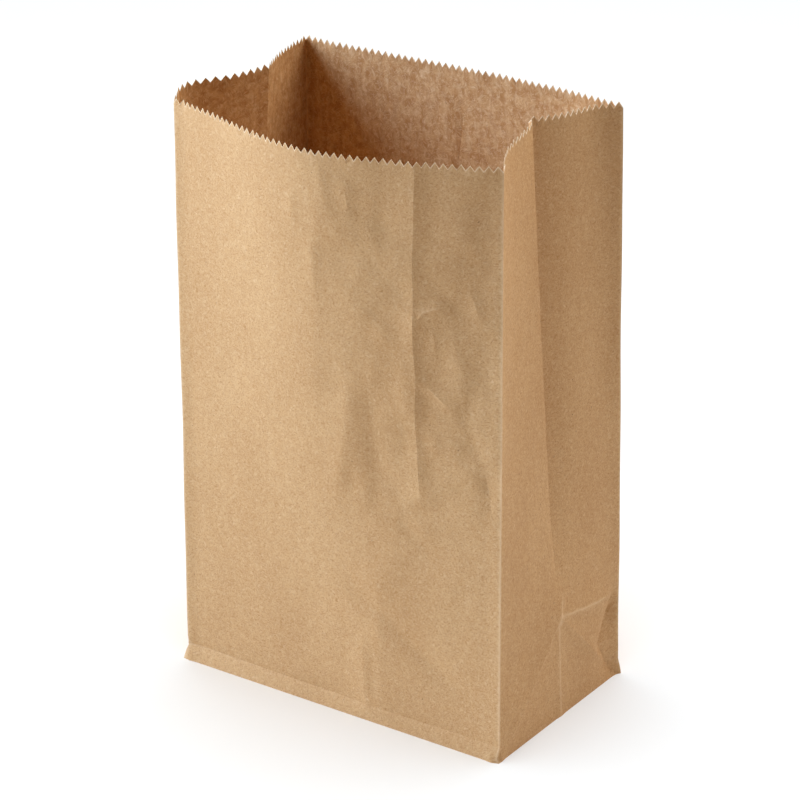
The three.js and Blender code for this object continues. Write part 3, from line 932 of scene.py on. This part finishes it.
def kraft_material(finish):
    """Unbleached kraft paper, machine made: matt, clouded where the pulp settled unevenly, with
    short fibres lying every way, faint streaks up the bag as the web ran, and bark flecks. The
    inside, which was not pressed smooth, is more mottled, and is also painted darker as painted shade."""
    material = bpy.data.materials.new("unbleached kraft paper")
    material.use_nodes = True
    tree = material.node_tree
    shader = tree.nodes["Principled BSDF"]
    shader.inputs["Roughness"].default_value = 0.78
    shader.inputs["IOR"].default_value = 1.5
    shader.inputs["Specular IOR Level"].default_value = 0.25

    flat = add_node(tree, "ShaderNodeUVMap", {"uv_map": "flat_sheet"})
    in_mm = add_node(tree, "ShaderNodeVectorMath", {"operation": "SCALE"}, {"Scale": 1 / MM},
                     _0=flat.outputs[0])
    # The two faces of the sheet are not alike: the inner one reads the patterns 40 mm away.
    inner = add_node(tree, "ShaderNodeAttribute", {"attribute_name": "inner_face"})
    far = add_node(tree, "ShaderNodeMath", {"operation": "MULTIPLY"}, {1: 40.0},
                   _0=inner.outputs["Fac"])
    aside = add_node(tree, "ShaderNodeCombineXYZ", Z=far.outputs[0])
    place = add_node(tree, "ShaderNodeVectorMath", {"operation": "ADD"},
                     _0=in_mm.outputs[0], _1=aside.outputs[0])
    # Fibres curl: their places are pushed about by 1.5 mm over lumps of 4 mm.
    curl = add_node(tree, "ShaderNodeTexNoise", None, {"Scale": 1 / 4, "Detail": 1.0},
                    Vector=place.outputs[0])
    pushed = add_node(tree, "ShaderNodeVectorMath", {"operation": "MULTIPLY_ADD"},
                      {1: (3, 3, 0)}, _0=curl.outputs["Color"], _2=place.outputs[0])

    # Painted shade: the inside is mixed a little towards the dark pulp colour all over.
    painted_inside_shade = add_node(tree, "ShaderNodeMath", {"operation": "MULTIPLY"}, {1: 0.1},
                      _0=inner.outputs["Fac"])
    base = add_node(tree, "ShaderNodeMix", {"data_type": "RGBA"},
                    {6: (*finish.paper, 1), 7: (*finish.shade, 1)}, _0=painted_inside_shade.outputs[0])
    colour = base.outputs[2]
    for name, tint, across, along, turn, detail, low, high, outside, inside in PULP_LAYERS:
        shape = pattern(tree, pushed.outputs[0], across, along, turn, detail, low, high, 1.0)
        strength = add_node(tree, "ShaderNodeMapRange", None, {3: outside, 4: inside},
                            Value=inner.outputs["Fac"])
        amount = add_node(tree, "ShaderNodeMath", {"operation": "MULTIPLY", "label": name},
                          _0=shape, _1=strength.outputs[0])
        layer = add_node(tree, "ShaderNodeMix", {"data_type": "RGBA"},
                         {7: (*getattr(finish, tint), 1)}, _0=amount.outputs[0], _6=colour)
        colour = layer.outputs[2]

    # Bark flecks: a dark spot about 0.4 mm wide in some of the cells, which are 7 mm wide.
    cells = add_node(tree, "ShaderNodeTexVoronoi", None, {"Scale": 1 / 7},
                     Vector=pushed.outputs[0])
    chosen = add_node(tree, "ShaderNodeMapRange", None, {1: 0.45, 2: 0.7, 4: 0.75},
                      Value=cells.outputs["Color"])
    spot = add_node(tree, "ShaderNodeMapRange", None, {1: 0.05, 2: 0.025},
                    Value=cells.outputs["Distance"])
    fleck = add_node(tree, "ShaderNodeMath", {"operation": "MULTIPLY"},
                     _0=chosen.outputs[0], _1=spot.outputs[0])
    flecked = add_node(tree, "ShaderNodeMix", {"data_type": "RGBA"}, {7: (*finish.fleck, 1)},
                       _0=fleck.outputs[0], _6=colour)
    colour = flecked.outputs[2]
    # Folds are painted paler, partly as rubbed wear and partly as painted highlight, and a painted
    # highlight runs along the cut edges; the raw edge itself shows the paler inside of the sheet.
    for name, tint, low, high, top in (("wear_and_highlight", "light", 0.35, 1.0, 0.45),
                                       ("cut_edge_highlight", "cut", 0.78, 0.95, 0.6),
                                       ("raw_edge", "cut", 0.0, 1.0, 1.0)):
        mark = add_node(tree, "ShaderNodeAttribute", {"attribute_name": name})
        amount = add_node(tree, "ShaderNodeMapRange", {"interpolation_type": "SMOOTHSTEP"},
                          {1: low, 2: high, 4: top}, Value=mark.outputs["Fac"])
        layer = add_node(tree, "ShaderNodeMix", {"data_type": "RGBA"},
                         {7: (*getattr(finish, tint), 1)}, _0=amount.outputs[0], _6=colour)
        colour = layer.outputs[2]
    tree.links.new(colour, shader.inputs["Base Color"])

    tooth = pattern(tree, pushed.outputs[0], 0.8, 0.9, 10, 2.0, 0.2, 0.8, 1.0)
    bump = add_node(tree, "ShaderNodeBump", None, {"Strength": 0.55, "Distance": 0.05 * MM},
                    Height=tooth)
    tree.links.new(bump.outputs[0], shader.inputs["Normal"])
    return material


class LUNCHBAG_OT_bag(bpy.types.Operator):
    """Builds the paper bag"""
    bl_idname = "lunch_bag.bag"
    bl_label = "Paper Bag"

    def execute(self, context):
        bag = build_bag(context, kraft_material(context.scene.lunch_bag_finish))
        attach(bag, "root")
        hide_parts(CAD_NODE)
        return {"FINISHED"}


def towards(azimuth, elevation):
    """The direction at an azimuth, from the front to the right, and an elevation in radians."""
    level = math.cos(elevation)
    return Vector((math.sin(azimuth) * level, -math.cos(azimuth) * level, math.sin(elevation)))


def aim(thing, target):
    """Turns a light or a camera to look at a point."""
    direction = Vector(target) - thing.location
    thing.rotation_euler = direction.to_track_quat("-Z", "Y").to_euler()


def lay_floor(scene, colour):
    """The pale floor, matt as studio paper is."""
    reach = 8.0
    corners = [(-reach, -reach, 0), (reach, -reach, 0), (reach, reach, 0), (-reach, reach, 0)]
    mesh = bpy.data.meshes.new("floor")
    mesh.from_pydata(corners, [], [(0, 1, 2, 3)])
    floor = bpy.data.objects.new("floor", mesh)
    scene.collection.objects.link(floor)
    paint = bpy.data.materials.new("matt studio paper")
    paint.use_nodes = True
    shader = paint.node_tree.nodes["Principled BSDF"]
    shader.inputs["Base Color"].default_value = (*colour, 1)
    shader.inputs["Roughness"].default_value = 0.9
    shader.inputs["Specular IOR Level"].default_value = 0.1
    mesh.materials.append(paint)


def set_light(scene, name, azimuth, elevation, size, power, colour, lit):
    """A round soft light, which lights only the thing it is set up for."""
    light = bpy.data.lights.new(name, "AREA")
    light.shape = "DISK"
    light.size = size
    light.energy = power
    light.color = colour
    box = bpy.data.objects.new(name, light)
    away = towards(math.radians(azimuth), math.radians(elevation))
    box.location = away * LIGHT_DISTANCE + Vector(LIGHT_AIM)
    aim(box, LIGHT_AIM)
    scene.collection.objects.link(box)
    reached = bpy.data.collections.new("lit by " + name)
    reached.objects.link(bpy.data.objects[lit])
    box.light_linking.receiver_collection = reached


class LUNCHBAG_OT_stage(bpy.types.Operator):
    """Lays the pale floor and sets the lights and the camera"""
    bl_idname = "lunch_bag.stage"
    bl_label = "Stage"

    def execute(self, context):
        scene = context.scene
        studio = scene.lunch_bag_studio
        lay_floor(scene, studio.floor)
        world = bpy.data.worlds.new("studio")
        world.use_nodes = True
        scene.world = world
        background = world.node_tree.nodes["Background"]
        background.inputs["Color"].default_value = WORLD_COLOUR
        background.inputs["Strength"].default_value = WORLD_STRENGTH
        for name, settings in LIGHTS.items():
            set_light(scene, name, *settings)

        camera = bpy.data.cameras.new("camera")
        camera.lens = studio.focal_length
        camera.sensor_width = 36
        camera.clip_end = 50
        view = bpy.data.objects.new("camera", camera)
        right = Vector((math.cos(studio.azimuth), math.sin(studio.azimuth), 0))
        target = Vector((0, 0, studio.aim_height)) + right * studio.aim_side
        view.location = target + towards(studio.azimuth, studio.elevation) * studio.distance
        aim(view, target)
        scene.collection.objects.link(view)
        scene.camera = view
        scene.view_settings.view_transform = "Standard"
        return {"FINISHED"}


class LUNCHBAG_PT_panel(bpy.types.Panel):
    bl_label = "Lunch Bag"
    bl_idname = "LUNCHBAG_PT_panel"
    bl_space_type = "VIEW_3D"
    bl_region_type = "UI"
    bl_category = "Lunch Bag"

    def draw(self, context):
        for group in ("lunch_bag_sizes", "lunch_bag_finish", "lunch_bag_studio"):
            settings = getattr(context.scene, group)
            box = self.layout.box()
            for name in settings.bl_rna.properties.keys():
                if name not in ("rna_type", "name"):
                    box.prop(settings, name)
        for operator in (LUNCHBAG_OT_bag, LUNCHBAG_OT_stage):
            self.layout.operator(operator.bl_idname)


CLASSES = (BagSizes, KraftFinish, StudioSet, LUNCHBAG_OT_bag, LUNCHBAG_OT_stage, LUNCHBAG_PT_panel)
GROUPS = {"lunch_bag_sizes": BagSizes, "lunch_bag_finish": KraftFinish, "lunch_bag_studio": StudioSet}


def register():
    for item in CLASSES:
        bpy.utils.register_class(item)
    for name, group in GROUPS.items():
        setattr(bpy.types.Scene, name, PointerProperty(type=group))


def unregister():
    for name in GROUPS:
        delattr(bpy.types.Scene, name)
    for item in reversed(CLASSES):
        bpy.utils.unregister_class(item)


def main():
    register()
    bpy.ops.lunch_bag.bag()
    bpy.ops.lunch_bag.stage()


if __name__ == "__main__":
    main()
